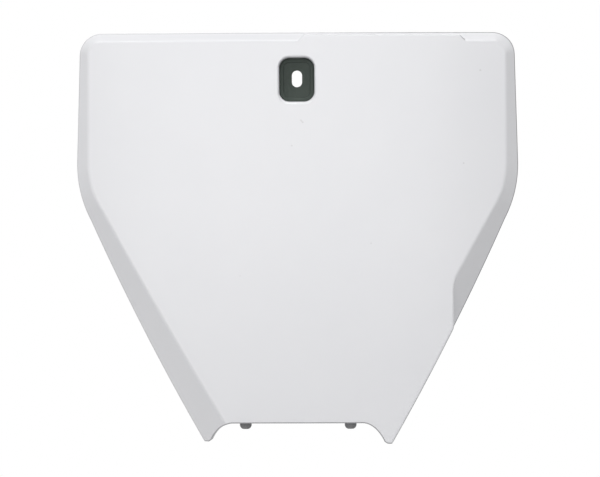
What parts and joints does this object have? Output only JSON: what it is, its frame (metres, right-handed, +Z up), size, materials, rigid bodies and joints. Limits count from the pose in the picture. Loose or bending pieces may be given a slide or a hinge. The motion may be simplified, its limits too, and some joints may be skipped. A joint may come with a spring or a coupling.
{
  "type": "racing number board",
  "caption": "White moulded front number board with swept-back edges, a recessed bolt slot in a dark pad, and rubber-capped locating pegs at the lower edge.",
  "frame": {"origin": "on the axis of the upper bolt slot, level with the middle of the face", "axes": "+X to the viewer's right, +Y backward into the plate, +Z up as the plate hangs on the machine"},
  "size_m": [0.2758, 0.0231, 0.2573],
  "materials": {
    "white_plastic": "smooth glossy white moulding",
    "dark_rubber": "dull dark grey rubber",
    "grey_rubber": "dull mid-grey rubber"
  },
  "bodies": {
    "root": {"number_board": "white_plastic", "mount_pad": "dark_rubber", "left_peg_cap": "grey_rubber", "right_peg_cap": "grey_rubber"}
  },
  "joints": []
}
